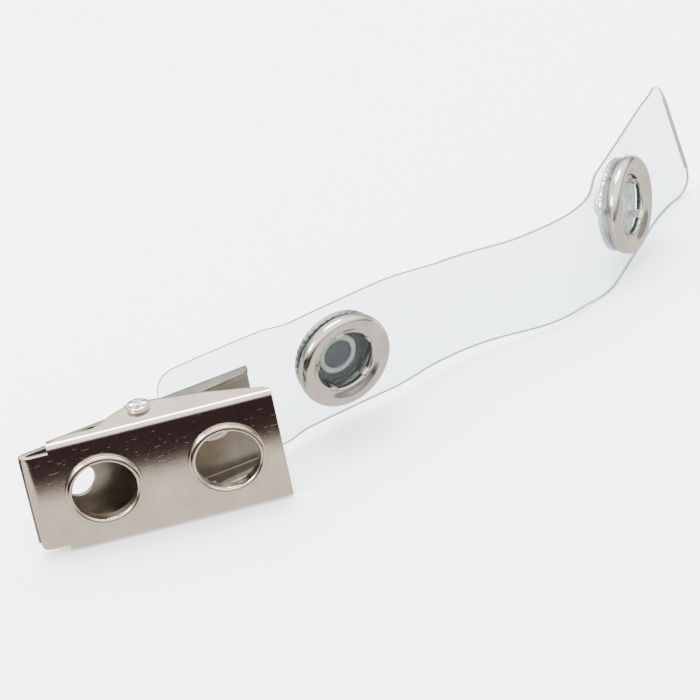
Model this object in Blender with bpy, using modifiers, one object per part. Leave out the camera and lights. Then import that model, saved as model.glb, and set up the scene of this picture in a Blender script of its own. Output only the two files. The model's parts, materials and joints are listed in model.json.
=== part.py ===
"""Two-hole sprung badge clip with a clear vinyl snap strap, lying on its long edge.

Built round the jaw pin: +X runs from the pin along the strap, +Y to the back, +Z up
along the pin. A root empty then moves everything so that the origin is the middle of
the base of the whole object.
"""
import math

import bmesh
import bpy
from mathutils import Matrix, Vector

MM = 0.001

# Clip, pressed from sheet steel
SHEET = 0.5 * MM                 # plate thickness
UPPER_WIDTH = 11.8 * MM          # across the upper jaw's flanges
LOWER_WIDTH = 10.66 * MM         # the lower jaw nests between them
BEND_RADIUS = 0.6 * MM           # outside radius of the pressed corners
UPPER_HEIGHT = 2.9 * MM          # pin axis to the upper plate's outer face
LOWER_HEIGHT = 1.65 * MM         # pin axis to the lower plate's outer face
JAW_ANGLE = math.radians(13.4)   # between the two plates, jaws closed
UPPER_TAIL = 12.3 * MM
LOWER_TAIL = 11.4 * MM
UPPER_SHOULDER = -9.2 * MM       # where the flanges end and the lip begins
LOWER_SHOULDER = -9.0 * MM
UPPER_LIP = -11.77 * MM
LOWER_LIP = -12.1 * MM
LIP_WIDTH = 10.2 * MM
# Flange depth below the plate at the tail, waist and nose, and the ear's radius at the pin
UPPER_FLANGE = (1.2 * MM, 3.0 * MM, 1.3 * MM, 1.55 * MM)
LOWER_FLANGE = (1.6 * MM, 2.0 * MM, 0.85 * MM, 1.25 * MM)
WAIST_X = 6.0 * MM
EAR_FOOT_X = -2.9 * MM           # the ear runs out to the nose between here and NOSE_X
EAR_TOE_X = -3.8 * MM
NOSE_X = -4.6 * MM
NOSE_END_X = -7.5 * MM
UPPER_CURL = (0.85 * MM, 0.95 * MM)   # outside radius of the lip's curl and its drop
LOWER_CURL = (0.70 * MM, 0.75 * MM)
HOLE_RADIUS = 3.05 * MM
HOLE_CENTRES = (-4.84 * MM, 6.96 * MM)
RIM_RADIUS = 0.34 * MM           # rolled bead round each hole
BEAD_SEAT = 0.13 * MM            # how far the sheet reaches into the bead
BEAD_LIFT = 0.18 * MM            # middle of the bead above the plate's face
SPOT_HOLE_RADIUS = 1.6 * MM
SPOT_HOLE_X = -6.8 * MM

# Jaw pin, spring and strap rivet
PIN_RADIUS = 0.5 * MM
PIN_PLAY = 0.05 * MM
PIN_HEAD_RADIUS = 1.12 * MM
PIN_TOP_HEIGHT = 0.45 * MM
PIN_FOOT_HEIGHT = 0.15 * MM
COIL_RADIUS = 0.78 * MM
COIL_WIRE_RADIUS = 0.16 * MM
COIL_TURNS = 6
COIL_HEIGHT = 5.6 * MM
COIL_LEG_X = 4.8 * MM
RIVET_X = 7.0 * MM
RIVET_RADIUS = 1.0 * MM
RIVET_FRONT_RADIUS = 2.4 * MM
RIVET_FRONT_HEIGHT = 0.5 * MM
RIVET_BACK_RADIUS = 2.4 * MM
RIVET_BACK_HEIGHT = 0.6 * MM

# Vinyl strap
STRAP_LENGTH = 70.0 * MM
STRAP_WIDTH = 12.7 * MM
STRAP_THICKNESS = 0.5 * MM
STRAP_CORNER = 2.2 * MM
STRAP_START = Vector((2.93, 1.93, 0.92)) * MM
TOUCH = 0.03 * MM                # gap between faces that touch
# Lie of the strap at rest: distance along it, heading and lean of its width in degrees
STRAP_BENDS = (
    (0.0, 0.0, 0.0), (10.6, 0.0, 0.0), (13.8, 7.0, -6.5), (23.3, 7.0, -6.5),
    (29.5, 7.0, -14.0), (36.0, -3.5, -16.5), (41.0, 5.0, -13.5), (46.0, 30.0, -11.0),
    (51.4, 44.0, 0.0), (61.8, 44.0, 0.0), (66.0, 36.0, 1.0), (70.0, 34.0, 8.0),
)
STRAP_CLIMB = ((0.0, 4.1), (35.0, -3.7), (70.0, 1.8))
# Fold lines: distance along the strap, slant in degrees, and the face that creases
FOLD_LINES = (
    ("strap_link_1", 24.4, 2.36, -1), ("strap_link_2", 30.5, -2.69, 1),
    ("strap_link_3", 37.0, 2.51, 1), ("strap_link_4", 44.5, 6.46, 1),
    ("strap_far", 50.3, -2.38, -1),
)
FOLD_GAP = 0.04 * MM             # half the gap between two strap panels

# Snap fastener
SNAP_STATION = 18.3
STUD_STATION = 56.1
RING_OUTER = 4.9 * MM
RING_INNER = 2.9 * MM
RING_HEIGHT = 1.3 * MM
PRONG_COUNT = 5
PRONG_RADIUS = 3.6 * MM
PRONG_SIZE = (0.3 * MM, 0.8 * MM)
PRONG_REACH = 0.4 * MM           # how far the prongs go into the hoop
PRONG_GROOVE = 0.3 * MM          # depth of the groove that takes their tips
BASE_RADIUS = 4.7 * MM
BASE_HEIGHT = 0.55 * MM
CUP_RADIUS = 2.75 * MM
CUP_HEIGHT = 2.15 * MM
MOUTH_FLARE = 0.35 * MM
CUP_FLOOR = (0.2 * MM, 0.32 * MM)     # heights of the two faces of the cup's closed end
WIRE_GROOVE = (1.15 * MM, 1.6 * MM)   # heights between which the socket's wire sits
BORE_RADIUS = 1.75 * MM
EYE_RADIUS = 1.45 * MM
BULB_RADIUS = 1.36 * MM
NECK_RADIUS = 1.12 * MM
STUD_HEIGHT = 2.1 * MM
SPRING_RADIUS = 1.78 * MM
SPRING_WIRE_RADIUS = 0.13 * MM

OBJECT_NAME = "badge_strap_clip"
parts = bpy.data.collections.new(OBJECT_NAME)
tools = bpy.data.collections.new("cutters")


def clear_scene():
    for item in list(bpy.data.objects):
        bpy.data.objects.remove(item, do_unlink=True)
    bpy.context.scene.collection.children.link(parts)
    bpy.context.scene.collection.children.link(tools)


def material(name, colour, roughness, metallic):
    made = bpy.data.materials.new(name)
    made.use_nodes = True
    shader = made.node_tree.nodes["Principled BSDF"]
    shader.inputs["Base Color"].default_value = (*colour, 1.0)
    shader.inputs["Roughness"].default_value = roughness
    shader.inputs["Metallic"].default_value = metallic
    made.diffuse_color = (*colour, 1.0)
    return made


def new_object(name, mesh, finish=None, matrix=None):
    """A part when it has a finish, otherwise a cutter or a piece to be joined."""
    item = bpy.data.objects.new(name, mesh)
    (parts if finish else tools).objects.link(item)
    if finish:
        item.data.materials.clear()
        item.data.materials.append(finish)
    else:
        item.hide_render = True
        item.display_type = "WIRE"
    if matrix is not None:
        item.matrix_world = matrix
    return item


def boolean(item, other, operation):
    change = item.modifiers.new(f"{operation.lower()}_{other.name}", "BOOLEAN")
    change.operation = operation
    change.solver = "EXACT"
    change.object = other
    return change


def evaluated_mesh(item):
    bpy.context.view_layer.update()
    graph = bpy.context.evaluated_depsgraph_get()
    return bpy.data.meshes.new_from_object(item.evaluated_get(graph))


def outline_mesh(name, points, thickness):
    """A flat outline in X and Y, filled and extruded evenly about Z = 0."""
    curve = bpy.data.curves.new(name, "CURVE")
    curve.dimensions = "2D"
    curve.fill_mode = "BOTH"
    curve.extrude = thickness / 2
    spline = curve.splines.new("POLY")
    spline.points.add(len(points) - 1)
    spline.use_cyclic_u = True
    for point, (x, y) in zip(spline.points, points):
        point.co = (x, y, 0, 1)
    holder = bpy.data.objects.new(name, curve)
    tools.objects.link(holder)
    mesh = evaluated_mesh(holder)
    bpy.data.objects.remove(holder)
    bpy.data.curves.remove(curve)
    weld(mesh)
    return mesh


def weld(mesh):
    made = bmesh.new()
    made.from_mesh(mesh)
    bmesh.ops.remove_doubles(made, verts=made.verts, dist=1e-7)
    bmesh.ops.recalc_face_normals(made, faces=made.faces)
    made.to_mesh(mesh)
    made.free()


def arc(centre, radius, start, end, steps):
    """Points on an arc in degrees, ends included."""
    angles = [math.radians(start + (end - start) * k / steps) for k in range(steps + 1)]
    return [(centre[0] + radius * math.cos(a), centre[1] + radius * math.sin(a)) for a in angles]


def turned_mesh(name, profile, steps):
    """A profile of (radius, height), top to bottom down its outer side, turned about Z."""
    mesh = bpy.data.meshes.new(name)
    closed = profile[0][0] > 0
    edges = [(k, k + 1) for k in range(len(profile) - 1)]
    if closed:
        edges.append((len(profile) - 1, 0))
    mesh.from_pydata([(r, 0, z) for r, z in profile], edges, [])
    holder = bpy.data.objects.new(name, mesh)
    tools.objects.link(holder)
    screw = holder.modifiers.new("turn", "SCREW")
    screw.axis = "Z"
    screw.steps = steps
    screw.render_steps = steps
    screw.use_merge_vertices = True
    screw.merge_threshold = 1e-7
    made = evaluated_mesh(holder)
    bpy.data.objects.remove(holder)
    weld(made)
    return made


def cylinder_mesh(name, radius, depth, segments):
    mesh = bpy.data.meshes.new(name)
    made = bmesh.new()
    bmesh.ops.create_cone(
        made, cap_ends=True, segments=segments, radius1=radius, radius2=radius, depth=depth
    )
    made.to_mesh(mesh)
    made.free()
    return mesh


def smooth(item, angle=35):
    item.data.shade_smooth()
    item.data.set_sharp_from_angle(angle=math.radians(angle))


# ---------------------------------------------------------------- clip

def channel_outline(width, depth):
    """The U section of a pressed jaw: Y across the width, the plate's outer face at 0."""
    half = width / 2
    inner = max(BEND_RADIUS - SHEET, 0.05 * MM)
    bend = half - BEND_RADIUS
    fold = half - SHEET - inner
    points = [(half, -depth)]
    points += arc((bend, -BEND_RADIUS), BEND_RADIUS, 0, 90, 6)
    points += arc((-bend, -BEND_RADIUS), BEND_RADIUS, 90, 180, 6)
    points += [(-half, -depth), (-half + SHEET, -depth)]
    points += arc((-fold, -SHEET - inner), inner, 180, 90, 3)
    points += arc((fold, -SHEET - inner), inner, 90, 0, 3)
    points.append((half - SHEET, -depth))
    return points


def side_outline(edge, outer):
    """Side view of a jaw: the flange edge as (along, depth) from tail to shoulder."""
    rise = 1.0 * MM
    points = [(edge[0][0], outer + rise)]
    points += [(along, outer - depth) for along, depth in edge]
    points.append((edge[-1][0], outer + rise))
    return points


def flange_edge(tail, shoulder, height, flange):
    """Depth of the flange's edge below the plate: a straight taper, a round ear, a nose."""
    tail_depth, waist_depth, nose_depth, ear_radius = flange
    ear = arc((0, 0), ear_radius, -42, -150, 12)
    ear_part = [(x, height - y) for x, y in ear]
    points = [(tail, tail_depth * 0.55), (tail - 0.6 * MM, tail_depth)]
    points += [(WAIST_X, waist_depth)]
    points += ear_part
    points += [(EAR_FOOT_X, nose_depth * 2.1), (EAR_TOE_X, nose_depth * 1.35)]
    points += [(NOSE_X, nose_depth), (NOSE_END_X, nose_depth), (shoulder, nose_depth * 0.42)]
    return points


def lip_outline(start, front, outer, drop, turn_radius):
    """Side view of the jaw's lip: flat plate that curls down over its front edge."""
    centre = (front + turn_radius, outer - turn_radius)
    inner_radius = turn_radius - SHEET
    points = [(start, outer)]
    points += arc(centre, turn_radius, 90, 180, 8)
    points += [(front, outer - drop), (front + SHEET, outer - drop)]
    points += arc(centre, inner_radius, 180, 90, 6)
    points.append((start, outer - SHEET))
    return points


def jaw(name, finish, matrix, width, outer, edge, lip, curl):
    """A pressed jaw in its own frame: X along it, Y across, Z out of the plate."""
    tail, shoulder = edge[0][0], edge[-1][0]
    depth = 5.2 * MM
    length = tail - shoulder
    mesh = outline_mesh(f"{name}_section", channel_outline(width, depth), length)
    place = Matrix.Translation(((tail + shoulder) / 2, 0, outer))
    turn = Matrix(((0, 0, 1, 0), (1, 0, 0, 0), (0, 1, 0, 0), (0, 0, 0, 1)))
    mesh.transform(place @ turn)
    jaw_object = new_object(name, mesh, finish, matrix)

    side = outline_mesh(f"{name}_side", side_outline(edge, outer), width + 2 * MM)
    upright = Matrix.Rotation(math.radians(90), 4, "X")
    side.transform(upright)
    boolean(jaw_object, new_object(f"{name}_side", side, matrix=matrix), "INTERSECT")

    overlap = 0.5 * MM
    radius, drop = curl
    tongue = outline_mesh(
        f"{name}_lip", lip_outline(shoulder + overlap, lip, outer, drop, radius), LIP_WIDTH
    )
    tongue.transform(upright)
    boolean(jaw_object, new_object(f"{name}_lip", tongue, matrix=matrix), "UNION")

    bore = cylinder_mesh(f"{name}_bore", PIN_RADIUS + PIN_PLAY, width + 2 * MM, 24)
    bore.transform(upright)
    boolean(jaw_object, new_object(f"{name}_bore", bore, matrix=matrix), "DIFFERENCE")
    return jaw_object


def bead_profile(hole_radius, outer):
    """Section of the raised bead that finishes a hole's edge, from its top outwards."""
    middle = hole_radius + RIM_RADIUS
    crown = outer + BEAD_LIFT
    points = arc((middle, crown), RIM_RADIUS, 90, 0, 4)
    points += [(middle + RIM_RADIUS, outer - 0.1 * MM), (hole_radius, outer - SHEET)]
    points += arc((middle, crown), RIM_RADIUS, 180, 112, 3)
    return points


def hole_with_bead(jaw_object, matrix, name, x, outer, radius, steps):
    at = Matrix.Translation((x, 0, 0))
    drill = cylinder_mesh(f"{name}_drill", radius + BEAD_SEAT, 12 * MM, steps)
    drill.transform(at)
    bead = turned_mesh(f"{name}_bead", bead_profile(radius, outer), steps)
    bead.transform(at)
    boolean(jaw_object, new_object(f"{name}_drill", drill, matrix=matrix), "DIFFERENCE")
    boolean(jaw_object, new_object(f"{name}_bead", bead, matrix=matrix), "UNION")


def build_jaws(nickel, nickel_dark):
    upright = math.radians(90)
    upper_frame = Matrix.Rotation(-JAW_ANGLE, 4, "Z") @ Matrix.Rotation(upright, 4, "X")
    edge = flange_edge(UPPER_TAIL, UPPER_SHOULDER, UPPER_HEIGHT, UPPER_FLANGE)
    upper = jaw(
        "upper_jaw", nickel, upper_frame, UPPER_WIDTH, UPPER_HEIGHT, edge, UPPER_LIP, UPPER_CURL
    )
    for k, x in enumerate(HOLE_CENTRES):
        hole_with_bead(upper, upper_frame, f"upper_hole_{k}", x, UPPER_HEIGHT, HOLE_RADIUS, 40)

    lower_frame = Matrix.Rotation(-upright, 4, "X")
    edge = flange_edge(LOWER_TAIL, LOWER_SHOULDER, LOWER_HEIGHT, LOWER_FLANGE)
    lower = jaw(
        "lower_jaw", nickel_dark, lower_frame, LOWER_WIDTH, LOWER_HEIGHT, edge, LOWER_LIP, LOWER_CURL
    )
    for name, x, height, radius in (
        ("spot_hole", SPOT_HOLE_X, 0, SPOT_HOLE_RADIUS),
        ("rivet_hole", RIVET_X, rivet_height(), RIVET_RADIUS + PIN_PLAY),
    ):
        drill = cylinder_mesh(name, radius, 2 * MM, 28)
        drill.transform(Matrix.Translation((x, -height, LOWER_HEIGHT)))
        boolean(lower, new_object(name, drill, matrix=lower_frame), "DIFFERENCE")
    for item in (upper, lower):
        smooth(item)
    return upper, lower


def head_profile(radius, height, base, up):
    """Half-section of a domed rivet head, from the axis out to its rim."""
    edge = 0.35 * height
    points = [(0, base + up * height)]
    points += [(radius * 0.45, base + up * height * 0.94), (radius * 0.8, base + up * height * 0.72)]
    points += [(radius, base + up * edge), (radius, base)]
    return points


def build_pin(finish):
    half = UPPER_WIDTH / 2 + TOUCH
    top = head_profile(PIN_HEAD_RADIUS, PIN_TOP_HEIGHT, half, 1)
    foot = head_profile(PIN_HEAD_RADIUS * 0.95, PIN_FOOT_HEIGHT, -half, -1)
    profile = top + [(PIN_RADIUS, half), (PIN_RADIUS, -half)] + foot[::-1]
    pin = new_object("hinge_pin", turned_mesh("hinge_pin", profile, 24), finish)
    smooth(pin)
    return pin


def build_torsion_spring(finish):
    """A coil round the pin whose two legs press the tails apart."""
    coil_steps = 12
    start, sweep = -62, 360 * COIL_TURNS + 124
    points = []
    for k in range(coil_steps * COIL_TURNS + 5):
        share = k / (coil_steps * COIL_TURNS + 4)
        angle = math.radians(start + sweep * share)
        x, y = COIL_RADIUS * math.cos(angle), COIL_RADIUS * math.sin(angle)
        points.append((x, y, COIL_HEIGHT * (share - 0.5)))
    clear = COIL_WIRE_RADIUS + 0.05 * MM
    lower_leg = LOWER_HEIGHT - SHEET - clear
    upper_leg = clear - (UPPER_HEIGHT - SHEET) / math.cos(JAW_ANGLE)
    upper_leg += COIL_WIRE_RADIUS - COIL_LEG_X * math.tan(JAW_ANGLE)
    points.insert(0, (COIL_LEG_X, upper_leg, -COIL_HEIGHT / 2))
    points.append((COIL_LEG_X, lower_leg, COIL_HEIGHT / 2))
    curve = bpy.data.curves.new("torsion_spring", "CURVE")
    curve.dimensions = "3D"
    curve.bevel_depth = COIL_WIRE_RADIUS
    curve.bevel_resolution = 1
    curve.use_fill_caps = True
    spline = curve.splines.new("POLY")
    spline.points.add(len(points) - 1)
    for point, place in zip(spline.points, points):
        point.co = (*place, 1)
    holder = bpy.data.objects.new("torsion_spring_path", curve)
    tools.objects.link(holder)
    mesh = evaluated_mesh(holder)
    bpy.data.objects.remove(holder)
    weld(mesh)
    spring = new_object("torsion_spring", mesh, finish)
    smooth(spring, 50)
    return spring


def build_strap_rivet(finish):
    """A tubular rivet through the lower jaw and the strap, its axis along +Y."""
    back_face = STRAP_START.y + STRAP_THICKNESS / 2 + TOUCH
    front_face = LOWER_HEIGHT - SHEET - TOUCH
    back = head_profile(RIVET_BACK_RADIUS, RIVET_BACK_HEIGHT, back_face, 1)
    front = head_profile(RIVET_FRONT_RADIUS, RIVET_FRONT_HEIGHT, front_face, -1)
    profile = back + [(RIVET_RADIUS, back_face), (RIVET_RADIUS, front_face)] + front[::-1]
    mesh = turned_mesh("strap_rivet", profile, 28)
    mesh.transform(Matrix.Rotation(math.radians(-90), 4, "X"))
    rivet = new_object("strap_rivet", mesh, finish, Matrix.Translation((RIVET_X, 0, rivet_height())))
    smooth(rivet)
    return rivet


# ---------------------------------------------------------------- strap

def blended(table, column, at):
    """A smooth reading of one column of the table that never overshoots its rows."""
    places = [row[0] for row in table]
    values = [row[column] for row in table]
    count = len(places)
    rates = [
        (values[k + 1] - values[k]) / (places[k + 1] - places[k]) for k in range(count - 1)
    ]
    slopes = [rates[0]]
    for before, after in zip(rates, rates[1:]):
        level = before * after <= 0
        slopes.append(0 if level else 2 * before * after / (before + after))
    slopes.append(rates[-1])
    k = min(max(sum(place <= at for place in places) - 1, 0), count - 2)
    span = places[k + 1] - places[k]
    u = (at - places[k]) / span
    return (
        (1 + 2 * u) * (1 - u) ** 2 * values[k] + u * (1 - u) ** 2 * span * slopes[k]
        + u * u * (3 - 2 * u) * values[k + 1] + u * u * (u - 1) * span * slopes[k + 1]
    )


def climb(at):
    for (a, low), (b, high) in zip(STRAP_CLIMB, STRAP_CLIMB[1:]):
        if at <= b:
            break
    return low + (high - low) * (at - a) / (b - a)


def strap_direction(at):
    heading = math.radians(blended(STRAP_BENDS, 1, at))
    rise = math.radians(climb(at))
    flat = math.cos(rise)
    return Vector((math.cos(heading) * flat, math.sin(heading) * flat, math.sin(rise)))


def strap_frame(at):
    """Centre, direction, width direction and back normal of the strap at a station."""
    steps = max(round(at / 0.1), 1)
    step = at / steps
    centre = STRAP_START.copy()
    for k in range(steps):
        centre += strap_direction((k + 0.5) * step) * step * MM
    along = strap_direction(at)
    level = Vector((0, 0, 1)).cross(along).normalized()
    upright = along.cross(level)
    lean = math.radians(blended(STRAP_BENDS, 2, at))
    across = upright * math.cos(lean) + level * math.sin(lean)
    return centre, along, across, across.cross(along)


def rivet_height():
    """Height of the strap's middle where the rivet passes through it."""
    return strap_frame((RIVET_X - STRAP_START.x) / MM)[0].z


def half_width(at):
    """Half the strap's width at a station, less where its corners are rounded."""
    end = min(at, STRAP_LENGTH / MM - at) * MM
    square = STRAP_WIDTH / 2 - STRAP_CORNER
    if end >= STRAP_CORNER:
        return STRAP_WIDTH / 2
    return square + math.sqrt(max(STRAP_CORNER**2 - (STRAP_CORNER - end) ** 2, 0))


def end_stations(first, last):
    """Stations from one end of a panel to the other, closer together at a round corner."""
    corner = STRAP_CORNER / MM
    ends = [corner * (1 - math.cos(math.radians(15 * k))) for k in range(6)]
    inner = [first] if first > 0 else ends
    length = STRAP_LENGTH / MM
    outer = [last] if last < length else [length - e for e in reversed(ends)]
    low = inner[-1] if first > 0 else corner
    high = outer[0] if last < length else length - corner
    count = max(round((high - low) / 1.3), 1)
    middle = [low + (high - low) * k / count for k in range(1, count)]
    return inner + ([corner] if first <= 0 else []) + middle + ([high] if last >= length else []) + outer


def strap_panel(name, finish, first, first_slant, last, last_slant):
    """A length of strap between two fold lines, each crossing it at its own slant."""
    rows = end_stations(first, last)
    columns = 8
    mesh = bpy.data.meshes.new(name)
    made = bmesh.new()
    bmesh.ops.create_grid(made, x_segments=len(rows) - 1, y_segments=columns, size=0.5)
    made.verts.ensure_lookup_table()
    grid = sorted(made.verts, key=lambda v: (round(v.co.x, 6), round(v.co.y, 6)))
    gap = FOLD_GAP / MM
    for index, vertex in enumerate(grid):
        row, column = divmod(index, columns + 1)
        at = rows[row]
        across = half_width(at) * (2 * column / columns - 1)
        share = (at - first) / (last - first)
        slant = first_slant * (1 - share) + last_slant * share
        at += across / MM * math.tan(math.radians(slant))
        at += (gap if first > 0 else 0) * (1 - share) - (gap if last < STRAP_LENGTH / MM else 0) * share
        centre, _, width, _ = strap_frame(at)
        vertex.co = centre + width * across
    bmesh.ops.recalc_face_normals(made, faces=made.faces)
    made.to_mesh(mesh)
    made.free()
    panel = new_object(name, mesh, finish)
    shell = panel.modifiers.new("thickness", "SOLIDIFY")
    shell.thickness = STRAP_THICKNESS
    shell.offset = 0
    shell.use_even_offset = True
    return panel


def snap_matrix(at, side, lift):
    """Frame on the strap's face at a station, with its Z pointing away from the strap."""
    centre, along, across, back = strap_frame(at)
    normal = back * side
    origin = centre + normal * (STRAP_THICKNESS / 2 + lift)
    other = normal.cross(along)
    return Matrix.Translation(origin) @ Matrix((along, other, normal)).transposed().to_4x4()


def build_strap(finish):
    slices = [("strap_near", 0.0, 0.0)]
    slices += [(name, at, slant) for name, at, slant, _ in FOLD_LINES]
    slices.append(("end", STRAP_LENGTH / MM, 0.0))
    panels = {}
    for (name, first, first_slant), (_, last, last_slant) in zip(slices, slices[1:]):
        panels[name] = strap_panel(name, finish, first, first_slant, last, last_slant)
    hole = cylinder_mesh("strap_rivet_hole", RIVET_RADIUS + PIN_PLAY, 3 * MM, 24)
    hole.transform(Matrix.Rotation(math.radians(90), 4, "X"))
    place = Matrix.Translation((RIVET_X, STRAP_START.y, rivet_height()))
    boolean(panels["strap_near"], new_object("strap_rivet_hole", hole, matrix=place), "DIFFERENCE")
    for name, station in (("strap_near", SNAP_STATION), ("strap_far", STUD_STATION)):
        slots = prong_mesh(f"{name}_slots", 0.12 * MM, 0.7 * MM)
        cutter = new_object(f"{name}_slots", slots, matrix=snap_matrix(station, 1, 0))
        boolean(panels[name], cutter, "DIFFERENCE")
    return panels


# ---------------------------------------------------------------- snap fastener

def prong_mesh(name, play, reach, top=0.2 * MM):
    """The prongs, as one mesh of bars that point up from under the strap."""
    mesh = bpy.data.meshes.new(name)
    made = bmesh.new()
    depth = STRAP_THICKNESS + reach + top
    for k in range(PRONG_COUNT):
        turn = Matrix.Rotation(2 * math.pi * k / PRONG_COUNT + 0.4, 4, "Z")
        place = Matrix.Translation((PRONG_RADIUS, 0, top - depth / 2))
        size = Matrix.Diagonal((PRONG_SIZE[0] + play, PRONG_SIZE[1] + play, depth, 1))
        bmesh.ops.create_cube(made, size=1.0, matrix=turn @ place @ size)
    made.to_mesh(mesh)
    made.free()
    return mesh


def prong_ring(name, finish, station):
    """The open front ring: a hollow-backed half-round hoop with its prongs behind."""
    radius = (RING_OUTER - RING_INNER) / 2
    middle = (RING_OUTER + RING_INNER) / 2
    shoulder = RING_HEIGHT - radius
    profile = arc((middle, shoulder), radius, 90, 0, 6)
    profile += [(RING_OUTER, 0), (RING_INNER, 0)]
    profile += arc((middle, shoulder), radius, 180, 105, 5)
    frame = snap_matrix(station, -1, TOUCH)
    ring = new_object(name, turned_mesh(name, profile, 40), finish, frame)
    prongs = prong_mesh(f"{name}_prongs", 0, PRONG_REACH)
    back = snap_matrix(station, 1, 0)
    boolean(ring, new_object(f"{name}_prongs", prongs, matrix=back), "UNION")
    smooth(ring)
    return ring


def base_profile(top_radius, body):
    """Section of a back piece: a base plate with a groove for the prongs, then its body."""
    groove_in, groove_out = PRONG_RADIUS - PRONG_SIZE[0], PRONG_RADIUS + PRONG_SIZE[0]
    points = [(top_radius, BASE_HEIGHT), (BASE_RADIUS - 0.25 * MM, BASE_HEIGHT)]
    points += [(BASE_RADIUS, BASE_HEIGHT - 0.2 * MM), (BASE_RADIUS, 0)]
    points += [(groove_out, 0), (groove_out, PRONG_GROOVE), (groove_in, PRONG_GROOVE), (groove_in, 0)]
    return body + points


def build_socket(finish):
    """The socket half: a cup closed towards the strap, with a groove for its wire ring."""
    low, high = WIRE_GROOVE
    groove = SPRING_RADIUS + 0.3 * MM
    under, floor = CUP_FLOOR
    body = [(0, floor), (BORE_RADIUS, floor), (BORE_RADIUS, low), (groove, low)]
    body += [(groove, high), (BORE_RADIUS, high), (BORE_RADIUS, CUP_HEIGHT - MOUTH_FLARE)]
    body += [(BORE_RADIUS + MOUTH_FLARE, CUP_HEIGHT), (CUP_RADIUS - 0.2 * MM, CUP_HEIGHT)]
    body += [(CUP_RADIUS, CUP_HEIGHT - 0.2 * MM)]
    profile = base_profile(CUP_RADIUS + 0.3 * MM, body)
    profile += [(EYE_RADIUS, 0), (EYE_RADIUS, under), (0, under)]
    frame = snap_matrix(SNAP_STATION, 1, TOUCH)
    socket = new_object("snap_socket", turned_mesh("snap_socket", profile, 40), finish, frame)
    smooth(socket)
    return socket


def build_socket_spring(finish):
    """A split wire ring that sits in the socket's groove."""
    steps = 24
    gap = math.radians(25)
    height = sum(WIRE_GROOVE) / 2
    curve = bpy.data.curves.new("socket_spring", "CURVE")
    curve.dimensions = "3D"
    curve.bevel_depth = SPRING_WIRE_RADIUS
    curve.bevel_resolution = 2
    curve.use_fill_caps = True
    spline = curve.splines.new("POLY")
    spline.points.add(steps)
    for k, point in enumerate(spline.points):
        angle = gap / 2 + (2 * math.pi - gap) * k / steps
        point.co = (SPRING_RADIUS * math.cos(angle), SPRING_RADIUS * math.sin(angle), height, 1)
    holder = bpy.data.objects.new("socket_spring_path", curve)
    tools.objects.link(holder)
    mesh = evaluated_mesh(holder)
    bpy.data.objects.remove(holder)
    weld(mesh)
    frame = snap_matrix(SNAP_STATION, 1, TOUCH)
    spring = new_object("socket_spring", mesh, finish, frame)
    smooth(spring, 50)
    return spring


def build_stud(finish):
    """The stud half: a hollow post that swells into a bulb at its tip."""
    top = STUD_HEIGHT + BASE_HEIGHT - 0.25 * MM
    bulb = top - 0.55 * MM
    body = [(0, top), (BULB_RADIUS * 0.6, top - 0.03 * MM)]
    body += arc((BULB_RADIUS - 0.5 * MM, bulb), 0.5 * MM, 80, -60, 7)
    body += [(NECK_RADIUS, bulb - 0.75 * MM)]
    profile = base_profile(NECK_RADIUS + 0.5 * MM, body)
    hollow = NECK_RADIUS - 0.3 * MM
    profile += [(hollow + 0.5 * MM, 0), (hollow, 0.5 * MM), (hollow, top - 0.5 * MM), (0, top - 0.4 * MM)]
    frame = snap_matrix(STUD_STATION, 1, TOUCH)
    stud = new_object("snap_stud", turned_mesh("snap_stud", profile, 40), finish, frame)
    smooth(stud)
    return stud


# ---------------------------------------------------------------- joints and placing

def joint_empty(name, place, parent, children):
    pivot = bpy.data.objects.new(name, None)
    parts.objects.link(pivot)
    pivot.empty_display_size = 2 * MM
    pivot.location = place
    attach(parent, [pivot])
    attach(pivot, children)
    return pivot


def attach(parent, children):
    bpy.context.view_layer.update()
    for child in children:
        world = child.matrix_world.copy()
        child.parent = parent
        child.matrix_parent_inverse = parent.matrix_world.inverted()
        child.matrix_world = world
    bpy.context.view_layer.update()


def fold_axis(station, slant, face):
    """Middle and direction of a fold line, along the face of the strap that creases."""
    ends = []
    for across in (-STRAP_WIDTH / 2, STRAP_WIDTH / 2):
        at = station + across / MM * math.tan(math.radians(slant))
        centre, _, width, back = strap_frame(at)
        ends.append(centre + width * across + back * (face * STRAP_THICKNESS / 2))
    return (ends[0] + ends[1]) / 2, (ends[1] - ends[0]).normalized()


def lowest_and_highest(items):
    bpy.context.view_layer.update()
    graph = bpy.context.evaluated_depsgraph_get()
    points = []
    for item in items:
        shape = item.evaluated_get(graph)
        points += [shape.matrix_world @ v.co for v in shape.data.vertices]
    low = Vector([min(p[k] for p in points) for k in range(3)])
    high = Vector([max(p[k] for p in points) for k in range(3)])
    return low, high


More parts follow.
